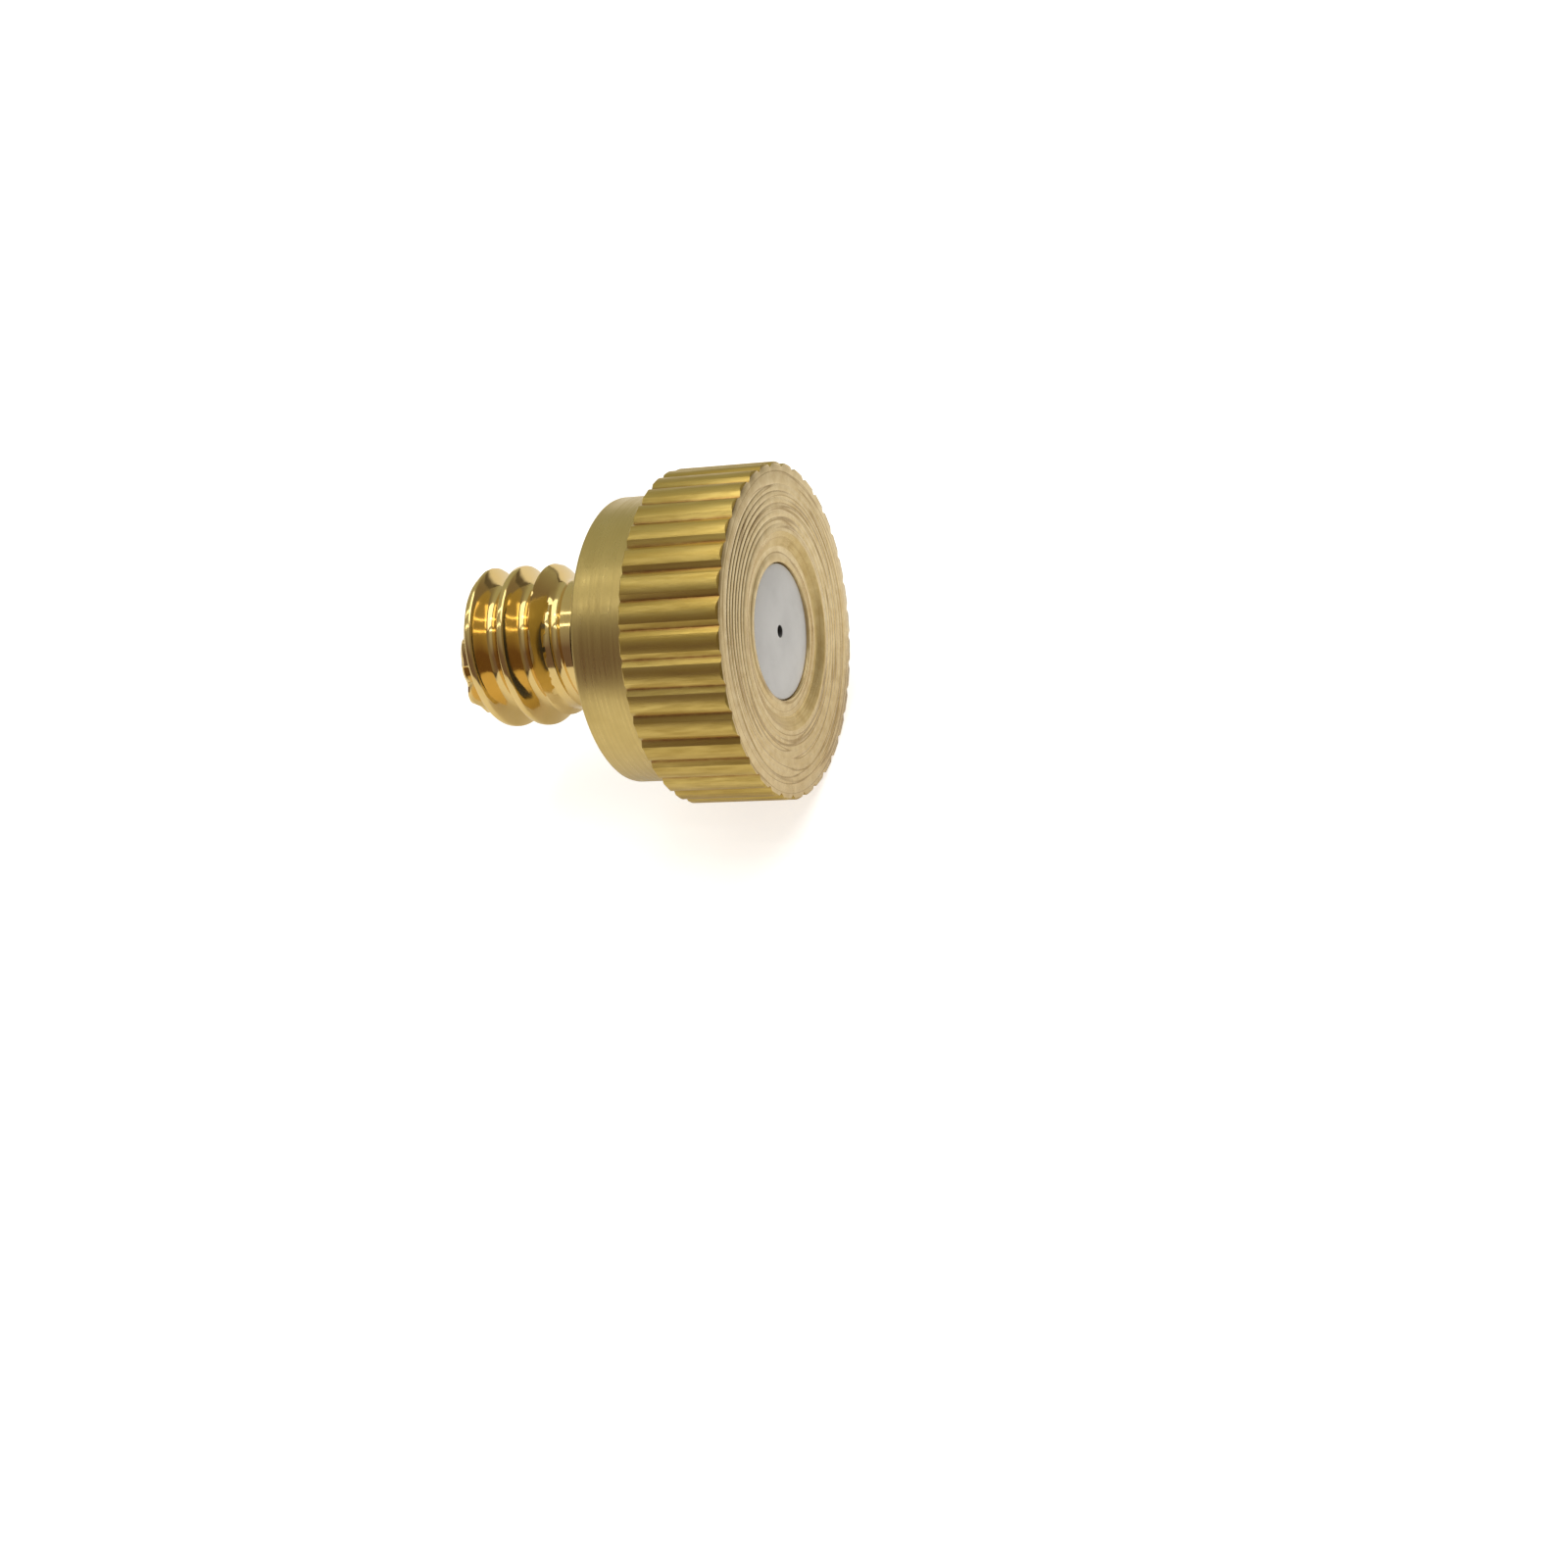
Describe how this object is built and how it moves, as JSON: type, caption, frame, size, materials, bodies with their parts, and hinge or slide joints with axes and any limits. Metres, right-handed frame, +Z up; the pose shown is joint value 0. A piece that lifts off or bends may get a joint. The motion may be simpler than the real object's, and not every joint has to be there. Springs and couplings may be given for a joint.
{
  "type": "misting nozzle",
  "caption": "Brass misting nozzle: straight-knurled head with a pressed-in orifice insert, plain collar, O-ring seat and a short threaded stem around a loose swirl core.",
  "frame": {"origin": "centre of the seat face, the flat ring behind the collar that lands on the fitting", "axes": "+X along the spray axis towards the orifice, so the threaded stem points to -X; +Z up"},
  "size_m": [0.0096, 0.0098, 0.0098],
  "materials": {
    "brass": "turned and knurled, bright stem",
    "insert_steel": "fine matt, lapped flat",
    "core_steel": "turned, bright",
    "ring_rubber": "moulded nitrile, satin black"
  },
  "bodies": {
    "nozzle": {"nozzle_body": "brass", "orifice_insert": "insert_steel", "o_ring": "ring_rubber"},
    "core": {"swirl_core": "core_steel"}
  },
  "joints": [
    {"name": "core_float", "type": "slide", "parent": "nozzle", "child": "core", "axis": [1, 0, 0], "range_m": [-0.00035, 0]}
  ]
}
